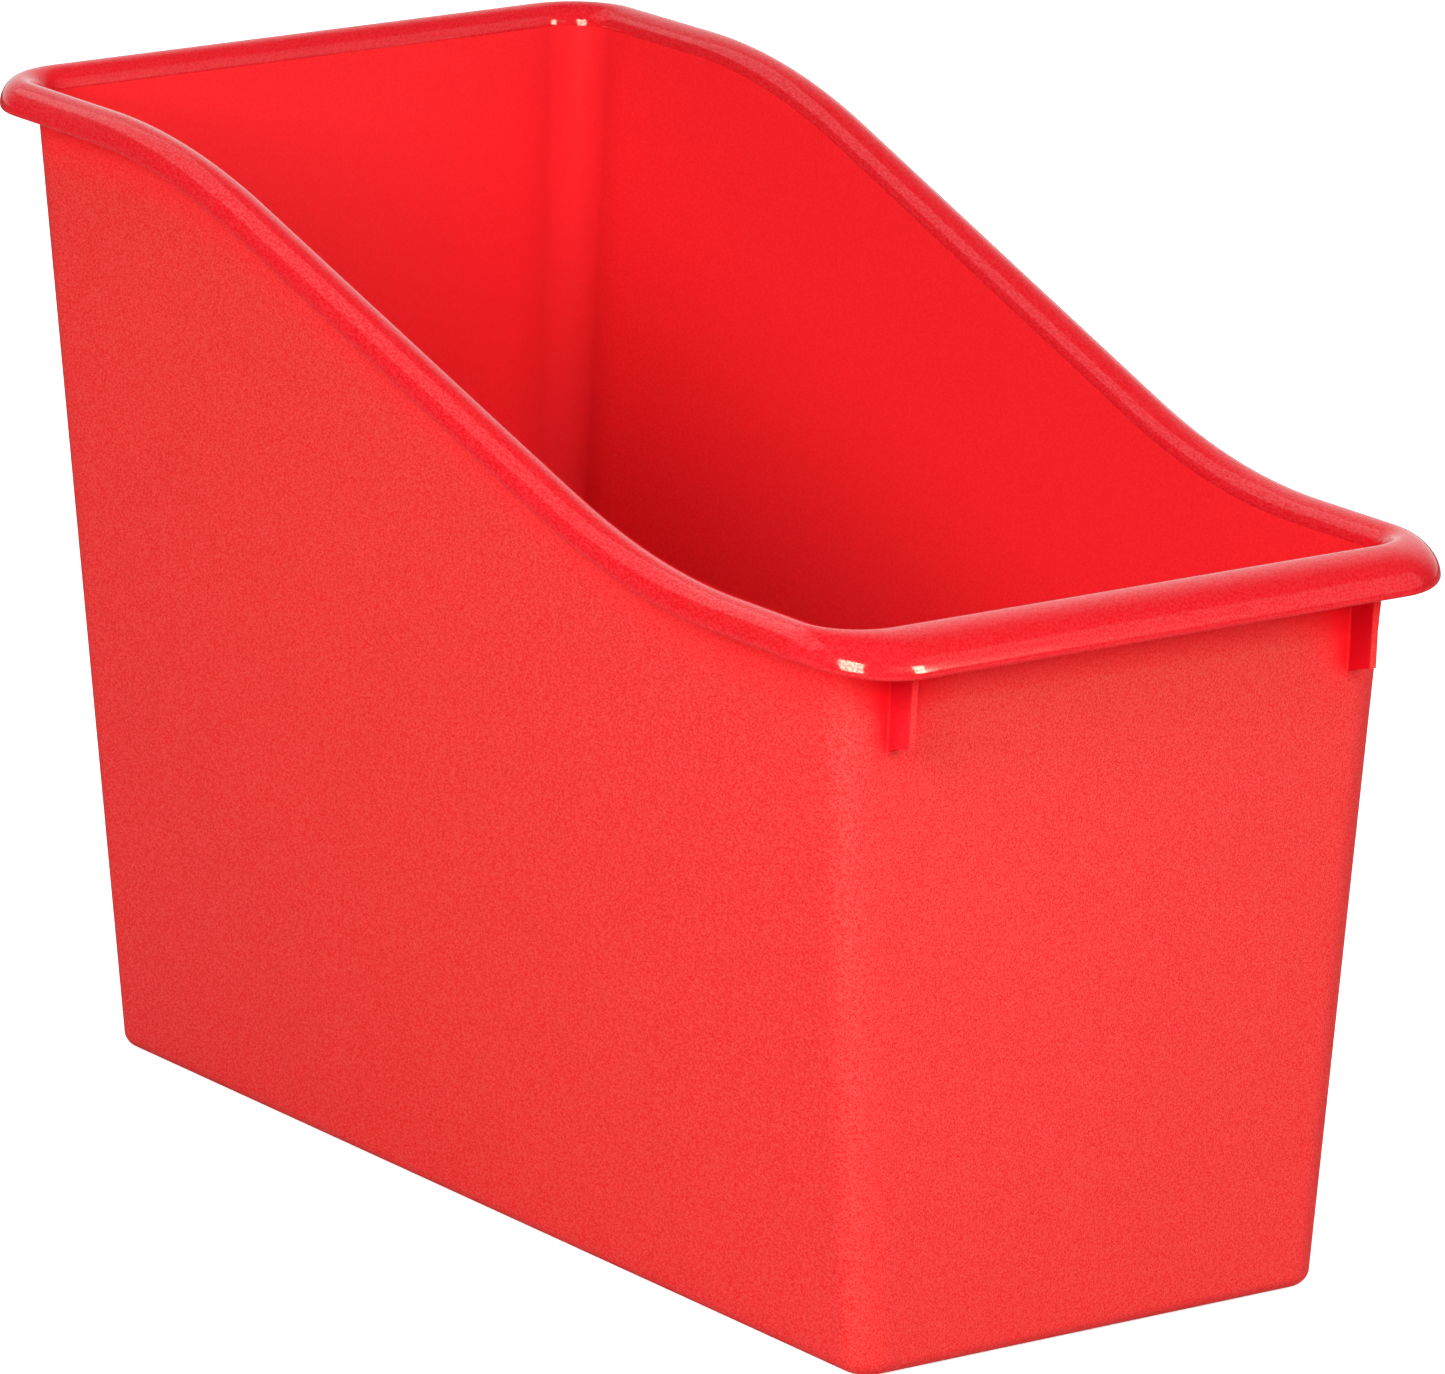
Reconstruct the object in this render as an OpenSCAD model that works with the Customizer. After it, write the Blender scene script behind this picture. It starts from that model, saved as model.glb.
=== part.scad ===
// Open-topped book bin, moulded in one piece: a tall back, a low front,
// a rim that sweeps between them, and a lip that rolls outwards all round.
// Origin: middle of the base, on the resting plane. The low front faces -Y.

/* [Body] */
// Length of the base, front to back, between the wall faces where they would meet the resting plane
base_l = 249.5; // [200:0.5:300]
// Width of the base, side to side, measured the same way
base_w = 102; // [80:0.5:150]
// Height of the rim's crest along the back
back_h = 190.5; // [160:0.5:220]
// Height of the rim's crest along the front
front_h = 139.5; // [110:0.5:150]
// Thickness of the walls, the floor and the lip
wall = 1.2; // [1:0.1:1.6]
// Lean of the two side walls from the vertical, in degrees
side_draft = 4.2; // [1:0.1:6]
// Lean of the front and back walls from the vertical, in degrees
end_draft = 3.1; // [1:0.1:6]

/* [Corners] */
// Outer radius of the upright corners at the resting plane
corner_r_base = 6; // [6:0.5:12]
// Outer radius of the upright corners at the height of the back rim
corner_r_top = 10; // [8:0.5:16]
// Radius of the outer edge that runs round the base
base_fillet = 3; // [1:0.5:4]
// Radius inside, where the walls meet the floor
floor_fillet = 3; // [1:0.5:3]

/* [Rim line] */
// Distance from the front of the base back to the foot of the slope
slope_start = 48.5; // [40:0.5:60]
// Distance from the back of the base forwards to the head of the slope
slope_end = 52.5; // [40:0.5:60]
// Reach of the curve that eases the rim into and out of the slope, to each side of its foot and head
slope_ease = 25; // [10:1:30]

/* [Lip] */
// Reach of the lip beyond the outer wall face, along the sides
side_lip = 7.2; // [6.5:0.1:10]
// Reach of the lip along the front, where a finger pulls it
front_lip = 12.4; // [9:0.1:15]
// Reach of the lip along the back
back_lip = 6.9; // [6.5:0.1:10]
// Depth of the lip's edge below the crest, along the sides
side_drop = 5.8; // [4.5:0.1:9]
// Depth of the lip's edge below the crest, along the front
front_drop = 7.3; // [5.5:0.1:10]
// Depth of the lip's edge below the crest, along the back
back_drop = 5.5; // [4.5:0.1:9]
// Radius that turns the inner wall face up and over onto the crest
crest_r = 4; // [3.4:0.1:4.6]
// Fullness of the lip's outer curve: 2 is an ellipse, less is flatter
lip_fullness = 1.76; // [1.5:0.02:2.4]
// Radius under the lip, where it leaves the outer wall face
root_r = 1; // [0.5:0.1:1.2]

/* [Stacking ribs] */
// Thickness of each rib
rib_t = 1.5; // [1:0.1:2.4]
// Reach of each rib beyond the wall face, where the lip is wide enough to cover it
rib_reach = 6.2; // [4:0.1:6.5]
// Depth of the outer end of a rib's lower edge below the crest of its wall
rib_drop = 21.5; // [14:0.5:30]
// Fall of the lower edge from its outer end to the radius that blends it into the wall
rib_fall = 1; // [0:0.5:3]
// Radius that blends a rib's lower edge into the wall
rib_fillet = 2; // [0.5:0.5:3]
// Clear flat left between a rib and the rounded corner
rib_inset = 0.3; // [0.1:0.1:10]

/* [Hidden] */
plastic = [0.93, 0.25, 0.24];

// How finely each curve is divided
corner_steps = 8;
ease_steps = 8;
fillet_steps = 4;
tip_steps = 6;
crest_steps = 6;
curl_steps = 8;

half_l = base_l / 2;
half_w = base_w / 2;
side_lean = tan(side_draft);
end_lean = tan(end_draft);
corner_grow = (corner_r_top - corner_r_base) / back_h;
foot_y = -half_l + slope_start;
head_y = half_l - slope_end;
slope = (back_h - front_h) / (head_y - foot_y);
// Depth, below the crest of its wall, at which a rib runs out
rib_depth = rib_drop + rib_fall + rib_fillet;
// The lip's edge is rounded over its whole thickness, and the crest stands out over the outer wall face
tip_r = wall / 2;
crest_out = crest_r - wall;

function spread(from, to, steps) = [for (i = [0:steps]) from + (to - from) * i / steps];
function reversed(list) = [for (i = [len(list) - 1:-1:0]) list[i]];
function turned(angle) = [cos(angle), sin(angle)];
function arc(centre, r, from, to, steps) =
    [for (angle = spread(from, to, steps)) centre + r * turned(angle)];

// ---- Plan ----
// Half sizes of the outer wall faces, and the corner radius, at height z
function wall_x(z) = half_w + z * side_lean;
function wall_y(z) = half_l + z * end_lean;
function corner_r(z) = corner_r_base + z * corner_grow;

// ---- Rim line ----
// A line that is level up to slope_ease before 0, climbs 1 in 1 from slope_ease after it, and bends
// between as a parabola. Two of them, one at the slope's foot and one at its head, make the rim.
function bend(t) =
    t < -slope_ease ? 0 : t > slope_ease ? t : pow(t + slope_ease, 2) / (4 * slope_ease);
function bend_rate(t) =
    t < -slope_ease ? 0 : t > slope_ease ? 1 : (t + slope_ease) / (2 * slope_ease);
function rim_z(y) = front_h + slope * (bend(y - foot_y) - bend(y - head_y));
function rim_rate(y) = slope * (bend_rate(y - foot_y) - bend_rate(y - head_y));

// ---- Stations round the rim ----
// A station is a list: the crest's point over the outer wall face, the point below it on the resting
// plane, the direction outwards, the direction up the wall square to the rim, and the wall's lean.
CREST = 0;
FOOT = 1;
OUT = 2;
UP = 3;
LEAN = 4;

// Upright corner on the side sx and the end sy, each 1 or -1: its surface at height z
function corner_point(sx, sy, angle, z) =
    [sx * (wall_x(z) - corner_r(z)), sy * (wall_y(z) - corner_r(z))] + corner_r(z) * turned(angle);
function corner_lean(angle) =
    (side_lean - corner_grow) * abs(cos(angle)) + (end_lean - corner_grow) * abs(sin(angle)) + corner_grow;
function corner_stations(sx, sy, start, z) = [
    for (angle = spread(start, start + 90, corner_steps))
        [
            [each corner_point(sx, sy, angle, z), z],
            [each corner_point(sx, sy, angle, 0), 0],
            [each turned(angle), 0],
            [0, 0, 1],
            corner_lean(angle)
        ]
];

// Side walls: stations only along the two stretches where the rim line bends. The straight part of a
// side is longer at the rim than at the foot, so a station's foot lies nearer the middle.
side_front = wall_y(front_h) - corner_r(front_h);
side_back = wall_y(back_h) - corner_r(back_h);
side_foot = half_l - corner_r_base;
function foot_of(y) = -side_foot + 2 * side_foot * (y + side_front) / (side_back + side_front);
function side_station(sx, y) = [
    [sx * wall_x(rim_z(y)), y, rim_z(y)],
    [sx * half_w, foot_of(y), 0],
    [sx, 0, 0],
    [0, -rim_rate(y), 1] / norm([rim_rate(y), 1]),
    side_lean
];
bend_places = concat(
    spread(foot_y - slope_ease, foot_y + slope_ease, ease_steps),
    spread(head_y - slope_ease, head_y + slope_ease, ease_steps)
);

// Anticlockwise from above, from the front's left-hand corner
stations = concat(
    corner_stations(-1, -1, 180, front_h),
    corner_stations(1, -1, 270, front_h),
    [for (y = bend_places) side_station(1, y)],
    corner_stations(1, 1, 0, back_h),
    corner_stations(-1, 1, 90, back_h),
    [for (y = reversed(bend_places)) side_station(-1, y)]
);

// ---- Section across the rim ----
// A size that the front, the sides and the back each have their own value of, for a wall that faces
// out. Through a corner it passes smoothly from one to the next.
function facing(out, front, side, back) =
    let (f = pow(max(0, -out.y), 2), b = pow(max(0, out.y), 2))
        front * f + back * b + side * (1 - f - b);
function oval(centre, rx, ry, angle) =
    centre + [rx * pow(cos(angle), 2 / lip_fullness), ry * pow(sin(angle), 2 / lip_fullness)];

// Points are [outwards from the outer wall face, up from the crest]: the root under the lip, the
// hollow underside, the rounded edge, the outer curve, and the turn over the crest to the inner wall.
function lip_section(reach, drop) =
    let (mid = [crest_out, tip_r - drop], rx = reach - crest_out, ry = drop - tip_r)
        concat(
            arc([root_r, -wall - root_r], root_r, 180, 90, fillet_steps),
            [for (i = [curl_steps:-1:1]) oval(mid, rx - wall, ry - wall, 90 * i / curl_steps)],
            arc([reach - tip_r, mid.y], tip_r, -180, 0, tip_steps),
            [for (i = [1:curl_steps]) oval(mid, rx, ry, 90 * i / curl_steps)],
            [for (i = [1:crest_steps]) [crest_out, -crest_r] + crest_r * turned(90 + 90 * i / crest_steps)]
        );

// Rounded foot of a leaning wall, from flat below to the wall's own slope. Points are [outwards from
// where the wall face would meet the level below it, up from that level].
function foot_section(r, lean) =
    let (tilt = atan(lean)) arc([-r * (1 / cos(tilt) - lean), r], r, -90, -tilt, fillet_steps);

// The whole line of one station: from under the base, up, over the lip and down to the floor
function station_line(s) =
    let (out = s[OUT], up = s[UP] + s[LEAN] * s[UP].z * out, inner_foot = s[FOOT] + [0, 0, wall])
        concat(
            [for (p = foot_section(base_fillet, s[LEAN])) s[FOOT] + p.x * out + [0, 0, p.y]],
            [for (p = lip_section(facing(out, front_lip, side_lip, back_lip),
                                  facing(out, front_drop, side_drop, back_drop)))
                s[CREST] + p.x * out + p.y * up],
            [for (p = reversed(foot_section(floor_fillet, s[LEAN])))
                inner_foot + (p.x - wall + wall * s[LEAN]) * out + [0, 0, p.y]]
        );

// ---- Shell ----
// A skin through all the stations' lines, closed by the underside and the floor
module shell() {
    lines = [for (s = stations) station_line(s)];
    count = len(lines);
    rows = len(lines[0]);
    base_middle = count * rows;
    floor_middle = base_middle + 1;
    skin = [
        for (i = [0:count - 1], j = [0:rows - 2])
            let (a = i * rows + j, b = ((i + 1) % count) * rows + j)
                each [[a, a + 1, b + 1], [a, b + 1, b]]
    ];
    caps = [
        for (i = [0:count - 1])
            let (a = i * rows, b = ((i + 1) % count) * rows)
                each [[base_middle, a, b], [floor_middle, b + rows - 1, a + rows - 1]]
    ];
    polyhedron(concat([for (line = lines) each line], [[0, 0, 0], [0, 0, wall]]), concat(skin, caps));
}

// ---- Ribs ----
// Height, from the crest, of the middle of the lip's thickness at a distance out from the wall face
function lip_middle(out, reach, drop) =
    let (ry = drop - tip_r, across = (out - crest_out) / (reach - tip_r - crest_out))
        (ry - tip_r) * pow(1 - pow(across, lip_fullness), 1 / lip_fullness) - ry;

// Upright rib on the front wall, under its lip, where a nested bin comes to rest. x is the rib's
// middle, rim the height of the wall's crest, and reach and drop belong to the wall's lip.
module rib(x, rim, reach, drop) {
    edge = min(rib_reach, reach - wall);
    outline = concat(
        [[-tip_r, -rib_depth], [-tip_r, -crest_r], [0, -wall]],
        [for (out = spread(crest_out, edge, fillet_steps)) [out, lip_middle(out, reach, drop)]],
        [[edge, -rib_drop]],
        arc([rib_fillet, -rib_depth], rib_fillet, 90, 180, fillet_steps)
    );
    translate([x - rib_t / 2, 0, 0])
        rotate([90, 0, 90])
            linear_extrude(rib_t)
                polygon([for (p = outline) [-wall_y(rim + p.y) - p.x, rim + p.y]]);
}

module rib_pair(rim, reach, drop) {
    root = rim - rib_depth;
    x = wall_x(root) - corner_r(root) - rib_inset - rib_t / 2;
    rib(-x, rim, reach, drop);
    rib(x, rim, reach, drop);
}

module bin() {
    color(plastic)
        union() {
            shell();
            rib_pair(front_h, front_lip, front_drop);
            mirror([0, 1, 0]) rib_pair(back_h, back_lip, back_drop);
        }
}

bin();
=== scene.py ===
"""The book bin's looks: a dense mesh of the moulding, its plastic, and a plain pale studio."""
import math
from collections import namedtuple

import bmesh
import bpy
import numpy as np
from mathutils import Matrix, Vector


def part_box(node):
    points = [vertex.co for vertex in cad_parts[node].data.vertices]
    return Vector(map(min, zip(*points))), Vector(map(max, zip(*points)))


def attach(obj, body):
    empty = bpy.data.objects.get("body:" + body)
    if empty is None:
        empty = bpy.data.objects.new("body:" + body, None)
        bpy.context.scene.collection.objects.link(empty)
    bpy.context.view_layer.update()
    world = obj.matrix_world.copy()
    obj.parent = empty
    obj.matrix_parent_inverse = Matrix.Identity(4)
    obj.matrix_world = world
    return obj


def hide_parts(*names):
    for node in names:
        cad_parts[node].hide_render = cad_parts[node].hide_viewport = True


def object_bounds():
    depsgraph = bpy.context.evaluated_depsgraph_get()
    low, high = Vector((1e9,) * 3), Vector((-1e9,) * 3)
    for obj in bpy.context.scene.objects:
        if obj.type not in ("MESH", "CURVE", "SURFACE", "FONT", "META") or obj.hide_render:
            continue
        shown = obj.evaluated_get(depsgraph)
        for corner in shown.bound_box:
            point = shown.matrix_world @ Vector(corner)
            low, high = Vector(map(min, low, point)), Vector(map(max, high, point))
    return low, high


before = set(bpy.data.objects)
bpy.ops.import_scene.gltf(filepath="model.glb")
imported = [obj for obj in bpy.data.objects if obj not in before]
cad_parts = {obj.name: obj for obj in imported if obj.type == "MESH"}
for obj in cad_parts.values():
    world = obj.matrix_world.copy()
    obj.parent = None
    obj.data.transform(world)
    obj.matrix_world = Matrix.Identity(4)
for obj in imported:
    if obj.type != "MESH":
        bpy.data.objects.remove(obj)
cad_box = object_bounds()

# ---- Sizes, in millimetres. The overall ones are read from the frame. ----
MM = 0.001
WALL = 1.2
SIDE_LEAN = math.tan(math.radians(4.2))
END_LEAN = math.tan(math.radians(3.1))
CORNER_R_BASE = 6
CORNER_R_TOP = 10
BASE_FILLET = 3
FLOOR_FILLET = 3

# The rim's slope starts this far behind the base's front, ends this far before its back, and eases
SLOPE_START = 48.5
SLOPE_END = 52.5
SLOPE_EASE = 25

# Reach of the lip beyond the wall face, and depth of its edge below the crest
FRONT_LIP, FRONT_DROP = 12.4, 7.3
SIDE_LIP, SIDE_DROP = 7.2, 5.8
BACK_LIP, BACK_DROP = 6.9, 5.5
CREST_R = 4
ROOT_R = 1
TIP_R = WALL / 2
CREST_OUT = CREST_R - WALL
LIP_FULLNESS = 1.76

RIB_T = 1.5
RIB_REACH = 6.2
RIB_DROP = 21.5
RIB_FALL = 1
RIB_FILLET = 2
RIB_DEPTH = RIB_DROP + RIB_FALL + RIB_FILLET
RIB_INSET = 0.3
RIB_ROOT_FILLET = 0.5
RIB_EDGE_R = 0.35
RIB_DRAFT = math.tan(math.radians(1))

# Width of the narrow row of faces at each end of a wall, which keeps the wall's shading flat
GUARD_ROW = 0.6

low, high = (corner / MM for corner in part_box("bin"))
BACK_H = high.z
HALF_W = high.x - SIDE_LIP - (BACK_H - SIDE_DROP + TIP_R) * SIDE_LEAN
HALF_L = high.y - BACK_LIP - (BACK_H - BACK_DROP + TIP_R) * END_LEAN
FRONT_H = max(v.co.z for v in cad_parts["bin"].data.vertices if v.co.y < -HALF_L * MM) / MM
CORNER_GROW = (CORNER_R_TOP - CORNER_R_BASE) / BACK_H
FOOT_Y = -HALF_L + SLOPE_START
HEAD_Y = HALF_L - SLOPE_END
SLOPE = (BACK_H - FRONT_H) / (HEAD_Y - FOOT_Y)

# How finely the mesh is divided
CORNER_STEPS = 24
END_STEPS = 26
SIDE_STEPS = 100
WALL_STEPS = 14
FOOT_STEPS = 9
ROOT_STEPS = 5
CURL_STEPS = 22
TIP_STEPS = 10
CREST_STEPS = 16
RIB_ROOT_STEPS = 5
RIB_FLANK_STEPS = 12
RIB_EDGE_STEPS = 4
RIB_TOP_STEPS = 8


# ---- Curves ----
def spread(start, end, steps):
    return np.linspace(start, end, steps + 1)


def arc(centre, radius, start, end, steps):
    angles = np.radians(spread(start, end, steps))
    return np.array(centre) + radius * np.column_stack([np.cos(angles), np.sin(angles)])


def quarter_oval(centre, rx, ry, start, end, steps):
    """A quarter of a superellipse. The angles run between 0, its outer end, and 90, its top."""
    angles = np.radians(spread(start, end, steps))
    power = 2 / LIP_FULLNESS
    across = np.clip(np.cos(angles), 0, 1) ** power
    above = np.clip(np.sin(angles), 0, 1) ** power
    return np.array(centre) + np.column_stack([rx * across, ry * above])


# ---- Plan and rim line ----
def wall_x(z):
    return HALF_W + z * SIDE_LEAN


def wall_y(z):
    return HALF_L + z * END_LEAN


def corner_r(z):
    return CORNER_R_BASE + z * CORNER_GROW


def bend(t):
    """Level before 0, climbing 1 in 1 after it, and eased between as a parabola."""
    return 0 if t < -SLOPE_EASE else t if t > SLOPE_EASE else (t + SLOPE_EASE) ** 2 / (4 * SLOPE_EASE)


def bend_rate(t):
    return min(max((t + SLOPE_EASE) / (2 * SLOPE_EASE), 0), 1)


def rim_z(y):
    return FRONT_H + SLOPE * (bend(y - FOOT_Y) - bend(y - HEAD_Y))


def rim_rate(y):
    return SLOPE * (bend_rate(y - FOOT_Y) - bend_rate(y - HEAD_Y))


# ---- Stations round the rim, anticlockwise from above, from the front's left-hand corner ----
Station = namedtuple("Station", "crest foot out up lean")
STRAIGHT_UP = np.array([0.0, 0.0, 1.0])


def corner_point(sx, sy, out, z):
    centre = [sx * (wall_x(z) - corner_r(z)), sy * (wall_y(z) - corner_r(z)), z]
    return np.array(centre) + corner_r(z) * out


def corner_stations(sx, sy, start, z):
    made = []
    for angle in np.radians(spread(start, start + 90, CORNER_STEPS)):
        out = np.array([math.cos(angle), math.sin(angle), 0])
        side_part = (SIDE_LEAN - CORNER_GROW) * abs(out[0])
        end_part = (END_LEAN - CORNER_GROW) * abs(out[1])
        lean = side_part + end_part + CORNER_GROW
        crest, foot = corner_point(sx, sy, out, z), corner_point(sx, sy, out, 0)
        made.append(Station(crest, foot, out, STRAIGHT_UP, lean))
    return made


def end_stations(sy, z):
    """The straight stretch of the front (sy -1) or of the back (sy 1), without its ends."""
    rim_half = wall_x(z) - corner_r(z)
    foot_half = HALF_W - CORNER_R_BASE
    out = np.array([0, sy, 0])
    made = []
    for share in -sy * spread(-1, 1, END_STEPS)[1:-1]:
        crest = np.array([share * rim_half, sy * wall_y(z), z])
        foot = np.array([share * foot_half, sy * HALF_L, 0])
        made.append(Station(crest, foot, out, STRAIGHT_UP, END_LEAN))
    return made


def side_stations(sx):
    """The straight stretch of the right side (sx 1) or of the left (sx -1), without its ends."""
    foot_half = HALF_L - CORNER_R_BASE
    front = -(wall_y(FRONT_H) - corner_r(FRONT_H))
    back = wall_y(BACK_H) - corner_r(BACK_H)
    made = []
    for share in sx * spread(-1, 1, SIDE_STEPS)[1:-1]:
        y = front + (back - front) * (share + 1) / 2
        crest = np.array([sx * wall_x(rim_z(y)), y, rim_z(y)])
        foot = np.array([sx * HALF_W, share * foot_half, 0])
        up = np.array([0, -rim_rate(y), 1]) / math.hypot(rim_rate(y), 1)
        made.append(Station(crest, foot, np.array([sx, 0, 0]), up, SIDE_LEAN))
    return made


def all_stations():
    return (
        corner_stations(-1, -1, 180, FRONT_H) + end_stations(-1, FRONT_H)
        + corner_stations(1, -1, 270, FRONT_H) + side_stations(1)
        + corner_stations(1, 1, 0, BACK_H) + end_stations(1, BACK_H)
        + corner_stations(-1, 1, 90, BACK_H) + side_stations(-1)
    )


# ---- Section across the rim: [outwards from the outer wall face, up from the crest] ----
def facing(out, front, side, back):
    """A size that the front, the sides and the back have their own value of, for a wall facing out."""
    front_part = max(0, -out[1]) ** 2
    back_part = max(0, out[1]) ** 2
    return front * front_part + back * back_part + side * (1 - front_part - back_part)


def lip_section(reach, drop):
    """From the root under the lip, round its edge and over the crest, to the inner wall face."""
    middle = [CREST_OUT, TIP_R - drop]
    rx, ry = reach - CREST_OUT, drop - TIP_R
    root = arc([ROOT_R, -WALL - ROOT_R], ROOT_R, 180, 90, ROOT_STEPS)
    hollow = quarter_oval(middle, rx - WALL, ry - WALL, 90, 0, CURL_STEPS)
    tip = arc([reach - TIP_R, middle[1]], TIP_R, -180, 0, TIP_STEPS)
    curl = quarter_oval(middle, rx, ry, 0, 90, CURL_STEPS)
    crest = arc([CREST_OUT, -CREST_R], CREST_R, 90, 180, CREST_STEPS)
    return np.vstack([root, hollow, tip[1:], curl[1:], crest[1:]])


def foot_section(radius, lean):
    """From flat below to the wall's own slope, from where the wall face would meet that level."""
    tilt = math.atan(lean)
    centre = [-radius * (1 / math.cos(tilt) - lean), radius]
    return arc(centre, radius, -90, -math.degrees(tilt), FOOT_STEPS)


def wall_rows(start, end):
    """Points between the two ends of a flat wall, with a guard row at each end."""
    narrow = GUARD_ROW / np.linalg.norm(end - start)
    shares = np.concatenate([[narrow], spread(0, 1, WALL_STEPS)[1:-1], [1 - narrow]])
    return start + shares[:, None] * (end - start)


def station_line(s):
    """One station's whole line, from under the base, up, over the lip and down to the floor."""
    up = s.up + s.lean * s.up[2] * s.out
    reach = facing(s.out, FRONT_LIP, SIDE_LIP, BACK_LIP)
    drop = facing(s.out, FRONT_DROP, SIDE_DROP, BACK_DROP)
    lip = [s.crest + a * s.out + b * up for a, b in lip_section(reach, drop)]
    outer = [s.foot + a * s.out + b * STRAIGHT_UP for a, b in foot_section(BASE_FILLET, s.lean)]
    floor_edge = s.foot + WALL * STRAIGHT_UP + (WALL * s.lean - WALL) * s.out
    inner = [floor_edge + a * s.out + b * STRAIGHT_UP
             for a, b in foot_section(FLOOR_FILLET, s.lean)][::-1]
    return np.vstack([outer, wall_rows(outer[-1], lip[0]), lip, wall_rows(lip[-1], inner[0]), inner])


# ---- Mesh of the shell ----
# Zones of the surface, in the order of the materials
OUTSIDE, LIP, INSIDE = 0, 1, 2
LIP_STARTS = FOOT_STEPS + WALL_STEPS + 2
LIP_ENDS = LIP_STARTS + ROOT_STEPS + 1 + CURL_STEPS + TIP_STEPS + CURL_STEPS + CREST_STEPS


def coons_patch(ring):
    """A grid of points that fills a ring of stations, with its corners in the middle of theirs."""
    across, along = END_STEPS + CORNER_STEPS, SIDE_STEPS + CORNER_STEPS
    ring = np.roll(ring, -(CORNER_STEPS // 2), axis=0)
    turns = np.cumsum([0, across, along, across])
    closed = np.vstack([ring, ring[:1]])
    front = closed[turns[0]:turns[1] + 1, None]
    right = closed[turns[1]:turns[2] + 1][None]
    back = closed[turns[2]:turns[3] + 1][::-1][:, None]
    left = closed[turns[3]:][::-1][None]
    u = spread(0, 1, across)[:, None, None]
    v = spread(0, 1, along)[None, :, None]
    ends = (1 - v) * front + v * back
    sides = (1 - u) * left + u * right
    corners = ((1 - u) * ((1 - v) * front[0] + v * back[0])
               + u * ((1 - v) * front[-1] + v * back[-1]))
    return ends + sides - corners


def patch_ids(ring_ids, first_new):
    """Vertex numbers of a patch's grid: its border is the ring, and its inside is new."""
    across, along = END_STEPS + CORNER_STEPS, SIDE_STEPS + CORNER_STEPS
    ids = np.zeros((across + 1, along + 1), int)
    ids[1:-1, 1:-1] = first_new + np.arange((across - 1) * (along - 1)).reshape(across - 1, along - 1)
    ring = np.roll(ring_ids, -(CORNER_STEPS // 2))
    closed = np.append(ring, ring[0])
    turns = np.cumsum([0, across, along, across])
    ids[:, 0] = closed[turns[0]:turns[1] + 1]
    ids[-1, :] = closed[turns[1]:turns[2] + 1]
    ids[:, -1] = closed[turns[2]:turns[3] + 1][::-1]
    ids[0, :] = closed[turns[3]:][::-1]
    return ids


def quads(ids):
    """The faces of a grid of vertex numbers."""
    return np.stack([ids[:-1, :-1], ids[1:, :-1], ids[1:, 1:], ids[:-1, 1:]], axis=-1).reshape(-1, 4)


def shell_mesh():
    lines = np.array([station_line(s) for s in all_stations()])
    count, rows = lines.shape[:2]
    ids = np.arange(count * rows).reshape(count, rows)
    skin = quads(np.vstack([ids, ids[:1]]))
    zones = np.tile(np.digitize(np.arange(rows - 1), [LIP_STARTS, LIP_ENDS]), count)

    base = coons_patch(lines[:, 0])
    base_ids = patch_ids(ids[:, 0], count * rows)
    floor = coons_patch(lines[:, -1])
    floor_ids = patch_ids(ids[:, -1], base_ids.max() + 1)
    points = np.vstack([lines.reshape(-1, 3), base[1:-1, 1:-1].reshape(-1, 3),
                        floor[1:-1, 1:-1].reshape(-1, 3)])
    base_faces = quads(base_ids)[:, ::-1]
    floor_faces = quads(floor_ids)
    faces = np.vstack([skin, base_faces, floor_faces])
    zones = np.concatenate([zones, np.full(len(base_faces), OUTSIDE), np.full(len(floor_faces), INSIDE)])

    mesh = bpy.data.meshes.new("bin_shell")
    mesh.from_pydata((points * MM).tolist(), [], faces.tolist())
    mesh.polygons.foreach_set("material_index", zones.astype(np.int32))
    return mesh


# ---- Ribs under the lip, at the front and at the back ----
# A rib's face looks along the bin, and not across it, where its normal's part along Y is above this
FACES_ALONG = 0.7
# Edges that turn by more than this angle stay sharp
SHARP_ANGLE = math.radians(40)


def lip_middle(out, reach, drop):
    """Height, from the crest, of the middle of the lip's thickness at a distance out from the wall."""
    ry = drop - TIP_R
    across = (out - CREST_OUT) / (reach - TIP_R - CREST_OUT)
    return (ry - TIP_R) * (1 - across ** LIP_FULLNESS) ** (1 / LIP_FULLNESS) - ry


def rib_profile(edge):
    """Half of a rib's level section, [across the rim, out from the wall], from inside the wall."""
    root = RIB_T / 2 + edge * RIB_DRAFT
    blend = arc([root + RIB_ROOT_FILLET, RIB_ROOT_FILLET], RIB_ROOT_FILLET, 265, 185, RIB_ROOT_STEPS)
    rounded = arc([RIB_T / 2 - RIB_EDGE_R, edge - RIB_EDGE_R], RIB_EDGE_R, 0, 90, RIB_EDGE_STEPS)
    shares = spread(0, 1, RIB_FLANK_STEPS)[1:-1, None]
    flank = blend[-1] + shares * (rounded[0] - blend[-1])
    return np.vstack([[root + RIB_ROOT_FILLET, -TIP_R], blend, flank, rounded])


def rib_bottom(out, edge):
    """Height of a rib's lower edge from the crest: a rise outwards, blended into the wall."""
    rise = -RIB_DROP - RIB_FALL * (edge - out) / (edge - RIB_FILLET)
    inward = np.clip(RIB_FILLET - out, 0, RIB_FILLET)
    blend = -RIB_DEPTH + np.sqrt(RIB_FILLET ** 2 - inward ** 2)
    return np.where(out > RIB_FILLET, rise, blend)


def rib_top(out, edge, reach, drop):
    """Height at which a rib ends inside the lip's thickness."""
    under_lip = spread(CREST_OUT, edge, RIB_TOP_STEPS)
    places = np.concatenate([[-TIP_R, 0], under_lip])
    heights = np.concatenate([[-CREST_R, -WALL], lip_middle(under_lip, reach, drop)])
    return np.interp(out, places, heights)


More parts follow.
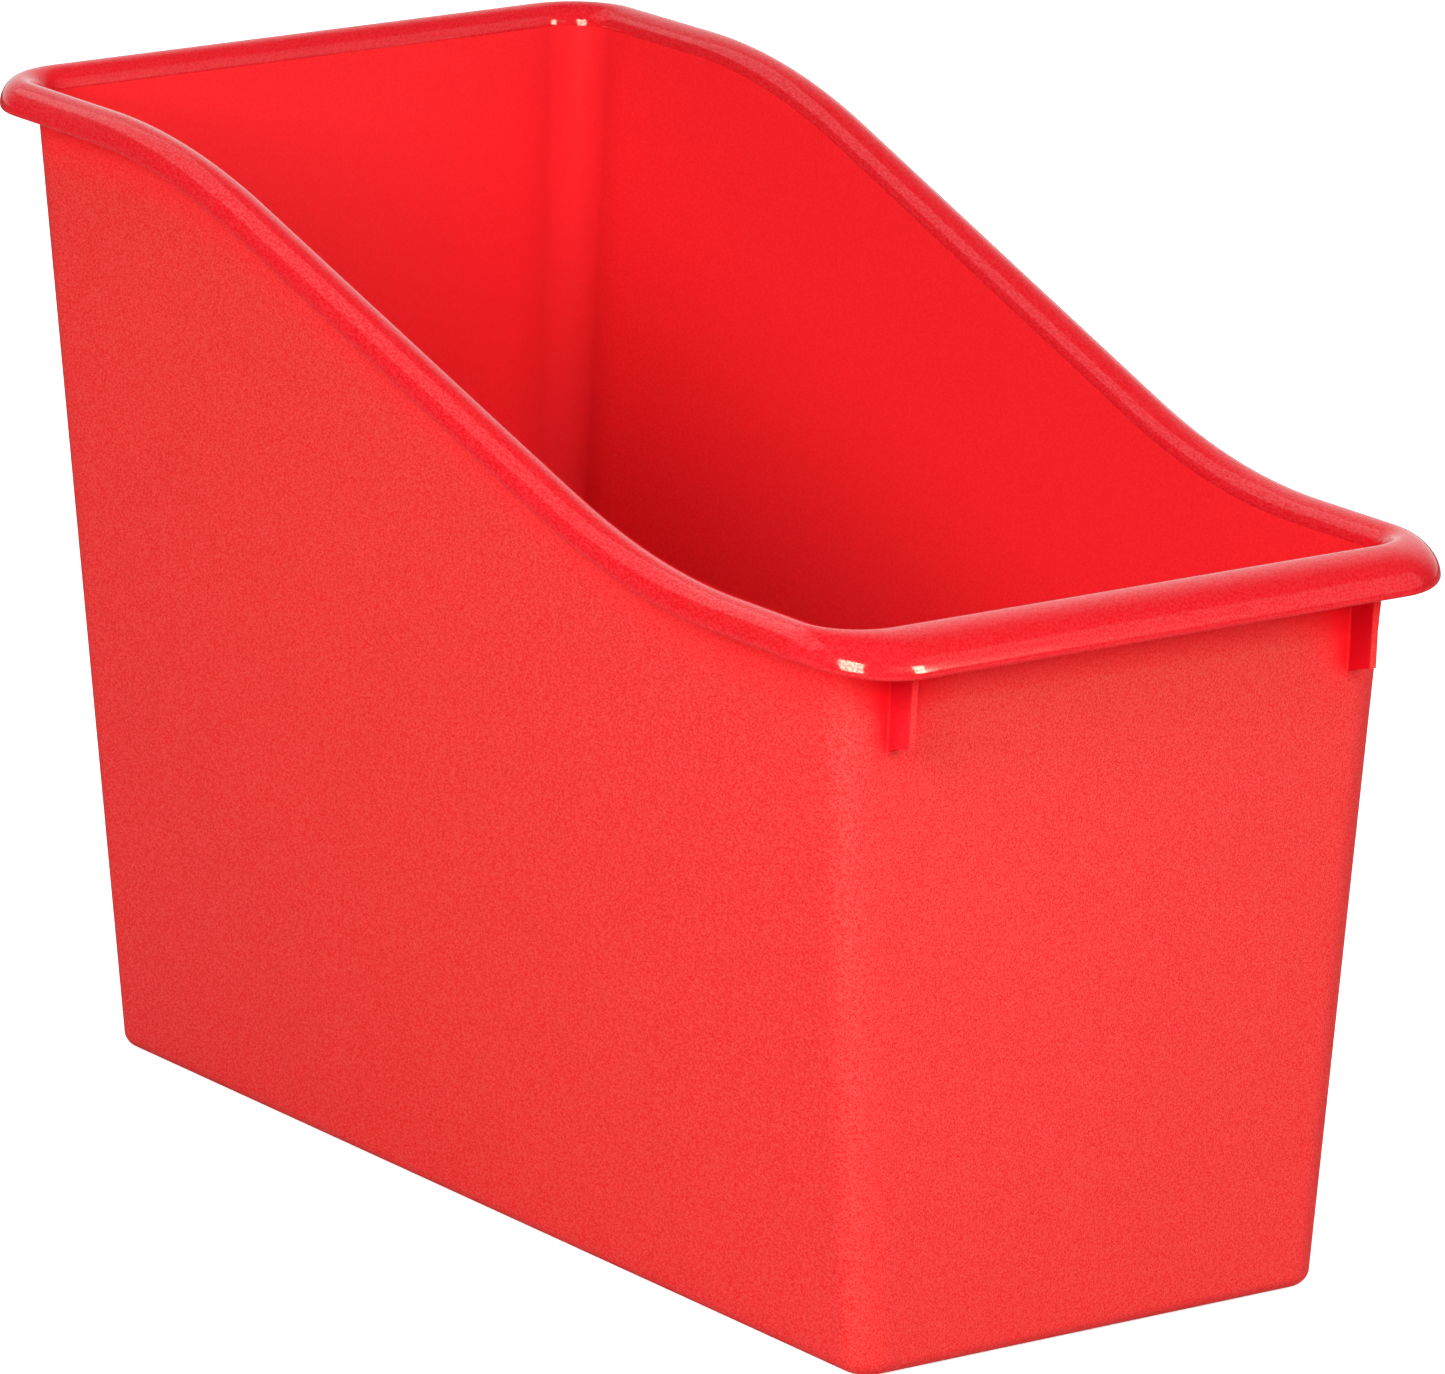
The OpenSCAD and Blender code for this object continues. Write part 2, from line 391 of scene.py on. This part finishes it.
def add_rib(bm, x, sy, rim, reach, drop):
    """One rib on the front wall (sy -1) or the back wall (sy 1), from its lower edge into the lip."""
    edge = min(RIB_REACH, reach - WALL)
    half = rib_profile(edge)
    profile = np.vstack([half, half[::-1] * [-1, 1]])
    rings = []
    for heights in (rib_bottom(profile[:, 1], edge), rib_top(profile[:, 1], edge, reach, drop)):
        ring = []
        for (across, out), above in zip(profile, heights):
            z = rim + above
            ring.append(bm.verts.new(Vector((x + across, sy * (wall_y(z) + out), z)) * MM))
        rings.append(ring)
    bottom, top = rings
    count = len(profile)
    for i in range(count):
        j = (i + 1) % count
        bm.faces.new([bottom[i], bottom[j], top[j], top[i]])
    for i in range(count // 2 - 1):
        for ring in rings:
            bm.faces.new([ring[i], ring[i + 1], ring[-2 - i], ring[-1 - i]])


def ribs_mesh():
    """The four ribs. Their outer edges have the outside's grain, and their flanks are glossy."""
    bm = bmesh.new()
    for sy, rim, reach, drop in ((-1, FRONT_H, FRONT_LIP, FRONT_DROP), (1, BACK_H, BACK_LIP, BACK_DROP)):
        root = rim - RIB_DEPTH
        x = wall_x(root) - corner_r(root) - RIB_INSET - RIB_T / 2
        for side in (-1, 1):
            add_rib(bm, side * x, sy, rim, reach, drop)
    bmesh.ops.recalc_face_normals(bm, faces=bm.faces)
    for face in bm.faces:
        face.material_index = OUTSIDE if abs(face.normal.y) > FACES_ALONG else LIP
    mesh = bpy.data.meshes.new("bin_ribs")
    bm.to_mesh(mesh)
    bm.free()
    return mesh


def link(name, data):
    made = bpy.data.objects.new(name, data)
    bpy.context.scene.collection.objects.link(made)
    return made


def build_bin(materials):
    """The shell with its ribs fused on, smooth except where the ribs meet the wall and the lip."""
    shell, ribs = shell_mesh(), ribs_mesh()
    for mesh in (shell, ribs):
        for material in materials:
            mesh.materials.append(material)
    body, cutter = link("book_bin_shell", shell), link("book_bin_ribs", ribs)
    fuse = body.modifiers.new("ribs", "BOOLEAN")
    fuse.operation, fuse.solver, fuse.object = "UNION", "MANIFOLD", cutter
    fused = body.evaluated_get(bpy.context.evaluated_depsgraph_get())
    body.data = bpy.data.meshes.new_from_object(fused)
    body.modifiers.clear()
    bpy.data.objects.remove(cutter)
    body.data.name = "book_bin_shell"
    body.data.shade_smooth()
    body.data.set_sharp_from_angle(angle=SHARP_ANGLE)
    weigh = body.modifiers.new("normals", "WEIGHTED_NORMAL")
    weigh.keep_sharp = True
    return body


# ---- Plastic ----
def add_node(tree, kind, inputs=None, **settings):
    made = tree.nodes.new(kind)
    for name, value in settings.items():
        setattr(made, name, value)
    for name, value in (inputs or {}).items():
        if isinstance(value, bpy.types.NodeSocket):
            tree.links.new(value, made.inputs[name])
        else:
            made.inputs[name].default_value = value
    return made


def noise(tree, place, size_mm, detail=2.0):
    """Noise with features of about size_mm. Most of its output lies within USUAL_NOISE."""
    inputs = {"Vector": place, "Scale": 1 / (size_mm * MM), "Detail": detail}
    return add_node(tree, "ShaderNodeTexNoise", inputs).outputs["Fac"]


def carried(tree, value, start, end, new_start, new_end, **settings):
    """Carries start..end over to new_start..new_end, and stops at both ends."""
    inputs = {"Value": value, "From Min": start, "From Max": end, "To Min": new_start, "To Max": new_end}
    return add_node(tree, "ShaderNodeMapRange", inputs, **settings).outputs["Result"]


def mixed(tree, share, first, second):
    """The first colour where share is 0, the second where it is 1."""
    made = add_node(tree, "ShaderNodeMix", data_type="RGBA")
    for socket, value in ((made.inputs[0], share), (made.inputs[6], first), (made.inputs[7], second)):
        if isinstance(value, bpy.types.NodeSocket):
            tree.links.new(value, socket)
        else:
            socket.default_value = value
    return made.outputs[2]


# Each surface's own red, the red of its deeper clouds, the red of its specks and its painted shade red.
# The plastic is one pigment: the outside's and the lip's own reds are darker than the inside's, painted
# light and shade that evens out how the lamps fall on each. The outside's pale specks are its grain and
# also carry part of its pale sheen, a painted reflection. The painted shade red, used in corners and under
# the lip, is darker inside, and brighter and purer on the outside and the lip, where it stands for light
# glowing through the plastic in the lip's shadow.
OUTSIDE_REDS = ((0.56, 0.005, 0.006, 1), (0.54, 0.004, 0.005, 1), (0.58, 0.026, 0.025, 1),
                (0.76, 0.007, 0.012, 1))
LIP_REDS = ((0.51, 0.006, 0.011, 1), (0.49, 0.005, 0.009, 1), (0.53, 0.016, 0.022, 1),
            (0.60, 0.004, 0.011, 1))
INSIDE_REDS = ((0.68, 0.013, 0.018, 1), (0.66, 0.012, 0.016, 1), (0.70, 0.016, 0.021, 1),
               (0.54, 0.010, 0.014, 1))

# How much of its surroundings a spot sees runs from 0 to 1. Only the bin's own surfaces within this reach,
# in millimetres, hide any of it. From this share down the spot counts as fully in shade, where the painted
# shade red is full and the sheen is gone.
PAINTED_SHADE_REACH = 16
PAINTED_SHADE_OPENNESS = 0.65

# The grain is finer across the bin and longer along it. It is turned, in radians, so that its pattern
# lies square to no wall.
GRAIN_FINENESS = (1.4, 0.6, 1)
GRAIN_TURN = (0.6, 0.4, 0.7)

PLASTIC_IOR = 1.49

# Ranges of noise: where most of it lies, and where a speck starts and is full
USUAL_NOISE = (0.3, 0.7)
SPECK_NOISE = (0.42, 0.58)

# Sizes, in millimetres, of the clouds in the pigment, of the patches in the roughness and of the waves in
# the surface, and how high the waves are
CLOUD_SIZE = 45
PATCH_SIZE = 12
WAVE_SIZE = 40
WAVE_HEIGHT = 0.25

# How far the clouds reach towards their red, and how far the roughness and the sheen vary
CLOUD_SHARE = 0.5
ROUGHNESS_SPREAD = 0.08
SHEEN_SPREAD = 0.5


def bumped(tree, height, depth_mm, under=None):
    """A normal that follows a height, on top of another normal if there is one."""
    inputs = {"Height": height, "Strength": 1.0, "Distance": depth_mm * MM}
    if under is not None:
        inputs["Normal"] = under
    return add_node(tree, "ShaderNodeBump", inputs).outputs["Normal"]


def plastic(name, reds, grain_mm, grain_depth_mm, roughness, sheen):
    """Moulded polypropylene: pigment that varies a little, a surface grain, and slow waves in it.

    In corners and under the lip, painted shade: the colour turns to the shade red and the sheen fades."""
    material = bpy.data.materials.new(name)
    material.use_nodes = True
    tree = material.node_tree
    tree.nodes.clear()
    place = add_node(tree, "ShaderNodeTexCoord").outputs["Object"]
    grain_place = add_node(tree, "ShaderNodeMapping", {
        "Vector": place, "Rotation": GRAIN_TURN, "Scale": GRAIN_FINENESS}).outputs["Vector"]
    # Ambient occlusion: how much of its surroundings each spot sees. It places the painted shade.
    openness = add_node(tree, "ShaderNodeAmbientOcclusion", {"Distance": PAINTED_SHADE_REACH * MM},
                        samples=8, only_local=True).outputs["AO"]
    unshaded_share = carried(tree, openness, PAINTED_SHADE_OPENNESS, 1, 0, 1)

    red, deep_red, pale_red, painted_shade_red = reds
    cloud = carried(tree, noise(tree, place, CLOUD_SIZE), *USUAL_NOISE, 0, CLOUD_SHARE)
    speck = noise(tree, grain_place, grain_mm, 1)
    dots = carried(tree, speck, *SPECK_NOISE, 0, 1)
    # Specks are the grain. On the outside their paler red also carries part of the sheen, a painted
    # reflection.
    open_red = mixed(tree, dots, mixed(tree, cloud, red, deep_red), pale_red)
    # Painted shade: where the surroundings are hidden the colour turns to the painted shade red.
    colour = mixed(tree, unshaded_share, painted_shade_red, open_red)

    patches = noise(tree, place, PATCH_SIZE, 4)
    rough = carried(tree, patches, *USUAL_NOISE,
                    roughness * (1 - ROUGHNESS_SPREAD), roughness * (1 + ROUGHNESS_SPREAD))
    open_sheen = carried(tree, speck, *USUAL_NOISE,
                         sheen * (1 - SHEEN_SPREAD), sheen * (1 + SHEEN_SPREAD))
    waves = bumped(tree, noise(tree, place, WAVE_SIZE, 1), WAVE_HEIGHT)
    grain = bumped(tree, noise(tree, grain_place, grain_mm, 2), grain_depth_mm, waves)
    # The sheen fades where the surroundings are hidden: a painted loss of reflection in shade.
    surface = add_node(tree, "ShaderNodeBsdfPrincipled", {
        "Base Color": colour, "Roughness": rough, "IOR": PLASTIC_IOR, "Normal": grain,
        "Specular IOR Level": carried(tree, unshaded_share, 0, 1, 0, open_sheen)})
    add_node(tree, "ShaderNodeOutputMaterial", {"Surface": surface.outputs["BSDF"]})
    return material


# ---- Studio ----
WHITE = (1, 1, 1, 1)
PAPER = (0.78, 0.78, 0.78, 1)
WARMER_PAPER = (0.78, 0.775, 0.77, 1)
MIRRORED_PAPER = (0.14, 0.14, 0.14, 1)
PAPER_GLOW = 0.65
PAPER_ROUGHNESS = 0.95
PAPER_CLOUD_SIZE = 400
# From the middle of the floor to its edges, in metres
FLOOR_REACH = 4.0


def floor_material():
    """Pale paper that the camera sees bright, and that the plastic mirrors only faintly."""
    material = bpy.data.materials.new("pale_floor")
    material.use_nodes = True
    tree = material.node_tree
    paper = tree.nodes["Principled BSDF"]
    place = add_node(tree, "ShaderNodeTexCoord").outputs["Object"]
    path = add_node(tree, "ShaderNodeLightPath").outputs
    plain = mixed(tree, noise(tree, place, PAPER_CLOUD_SIZE), PAPER, WARMER_PAPER)
    colour = mixed(tree, path["Is Glossy Ray"], plain, MIRRORED_PAPER)
    glow = carried(tree, path["Is Camera Ray"], 0, 1, 0, PAPER_GLOW)
    tree.links.new(colour, paper.inputs["Base Color"])
    tree.links.new(glow, paper.inputs["Emission Strength"])
    paper.inputs["Emission Color"].default_value = WHITE
    paper.inputs["Roughness"].default_value = PAPER_ROUGHNESS
    return material


def build_floor():
    mesh = bpy.data.meshes.new("floor")
    corners = [(-1, -1, 0), (1, -1, 0), (1, 1, 0), (-1, 1, 0)]
    mesh.from_pydata([Vector(corner) * FLOOR_REACH for corner in corners], [], [(0, 1, 2, 3)])
    mesh.materials.append(floor_material())
    link("floor", mesh)


def direction(azimuth, elevation):
    """Unit vector from the object towards a viewer: azimuth 0 looks along +Y."""
    a, e = math.radians(azimuth), math.radians(elevation)
    return Vector((math.sin(a) * math.cos(e), -math.cos(a) * math.cos(e), math.sin(e)))


# Each soft box: its direction from the bin (azimuth and elevation in degrees), its distance, width and
# height in metres, and its brightness. The plain ones light the bin, and the mirrored ones are only what
# its plastic mirrors.
OVERHEAD = (0, 88, 1.8, 2.6, 2.6, 0.6)
KEY = (-66, 27, 1.1, 0.5, 0.45, 17.5)
SECOND = (-4, 27, 1.2, 0.5, 0.4, 14.5)
BACK = (120, 30, 1.3, 0.9, 0.6, 6)
KEY_MIRRORED = (-62, 20, 1.05, 0.46, 0.68, 28)
SECOND_MIRRORED = (20, 19, 1.2, 0.30, 0.54, 36)
LEFT_MIRRORED = (-140, 44, 0.9, 0.9, 0.5, 0.9)
FRONT_MIRRORED = (40, 26, 1.2, 0.9, 0.9, 0.7)
WARM = (1.0, 0.92, 0.68)
NEUTRAL = (1.0, 1.0, 1.0)

# Brightness of the light from all round, and of what the plastic mirrors of it towards the front and
# towards the backdrop. The backdrop's middle lies in this direction, and the two brightnesses blend
# between these cosines of the angle from it.
FILL = 0.22
MIRRORED_FRONT = 0.05
MIRRORED_BACKDROP = 1.15
BACKDROP = (150, 5)
BACKDROP_BLEND = (0.4, 0.97)


def add_light(name, aim, place, colour, mirrored):
    """A soft box that faces the bin. A brightness of 1 looks white."""
    azimuth, elevation, distance, width, height, brightness = place
    data = bpy.data.lights.new(name, "AREA")
    data.shape, data.size, data.size_y = "RECTANGLE", width, height
    data.energy, data.color = brightness * math.pi * width * height, colour
    light = link(name, data)
    towards = direction(azimuth, elevation)
    light.location = aim + towards * distance
    light.rotation_euler = towards.to_track_quat("Z", "Y").to_euler()
    light.visible_glossy = mirrored
    light.visible_diffuse = not mirrored


def build_world():
    """Even soft light from all round. What the plastic mirrors of it grows paler towards the backdrop."""
    world = bpy.data.worlds.new("studio")
    world.use_nodes = True
    tree = world.node_tree
    place = add_node(tree, "ShaderNodeTexCoord").outputs["Generated"]
    towards_backdrop = add_node(tree, "ShaderNodeVectorMath", {0: place, 1: direction(*BACKDROP)},
                                operation="DOT_PRODUCT").outputs["Value"]
    mirrored = carried(tree, towards_backdrop, *BACKDROP_BLEND, MIRRORED_FRONT, MIRRORED_BACKDROP,
                       interpolation_type="SMOOTHSTEP")
    seen_in_plastic = add_node(tree, "ShaderNodeLightPath").outputs["Is Glossy Ray"]
    strength = carried(tree, seen_in_plastic, 0, 1, FILL, mirrored)
    tree.links.new(strength, tree.nodes["Background"].inputs["Strength"])
    tree.nodes["Background"].inputs["Color"].default_value = WHITE
    bpy.context.scene.world = world


# Where the camera stands, seen from the middle of the bin (degrees and metres), and how its lens is set
VIEW_AZIMUTH = -34.773
VIEW_ELEVATION = 14.875
VIEW_ROLL = 0.4535
VIEW_DISTANCE = 2.0755
VIEW_ASIDE = 0.0080
VIEW_BELOW = 0.0043
LENS_MM = 280.26
SENSOR_MM = 36
LENS_SHIFT = (-0.01754, 0.00272)


def build_camera(aim):
    """A long lens at the viewing angle, shifted so that the bin fills the frame."""
    data = bpy.data.cameras.new("camera")
    data.lens, data.sensor_width = LENS_MM, SENSOR_MM
    data.shift_x, data.shift_y = LENS_SHIFT
    camera = link("camera", data)
    towards = direction(VIEW_AZIMUTH, VIEW_ELEVATION)
    level = towards.to_track_quat("Z", "Y").to_matrix()
    turned = level @ Matrix.Rotation(math.radians(VIEW_ROLL), 3, "Z")
    camera.rotation_euler = turned.to_euler()
    camera.location = aim + turned @ Vector((VIEW_ASIDE, -VIEW_BELOW, VIEW_DISTANCE))
    bpy.context.scene.camera = camera


middle = (Vector(cad_box[0]) + Vector(cad_box[1])) / 2
# The three finishes share one pigment; the differences between their own reds are painted light and shade.
textured = plastic("textured_plastic", OUTSIDE_REDS,
                   grain_mm=0.33, grain_depth_mm=0.02, roughness=0.6, sheen=0.24)
glossy = plastic("glossy_plastic", LIP_REDS,
                 grain_mm=0.4, grain_depth_mm=0.002, roughness=0.11, sheen=0.36)
smooth = plastic("smooth_plastic", INSIDE_REDS,
                 grain_mm=0.4, grain_depth_mm=0.002, roughness=0.45, sheen=0.03)
book_bin = build_bin([textured, glossy, smooth])
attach(book_bin, "root")
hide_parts("bin")

build_floor()
build_world()
add_light("overhead", middle, OVERHEAD, NEUTRAL, False)
add_light("key", middle, KEY, NEUTRAL, False)
add_light("second", middle, SECOND, NEUTRAL, False)
add_light("back", middle, BACK, NEUTRAL, False)
add_light("key_mirrored", middle, KEY_MIRRORED, WARM, True)
add_light("second_mirrored", middle, SECOND_MIRRORED, WARM, True)
add_light("left_mirrored", middle, LEFT_MIRRORED, NEUTRAL, True)
add_light("front_mirrored", middle, FRONT_MIRRORED, NEUTRAL, True)
build_camera(middle)
bpy.context.scene.view_settings.view_transform = "Standard"
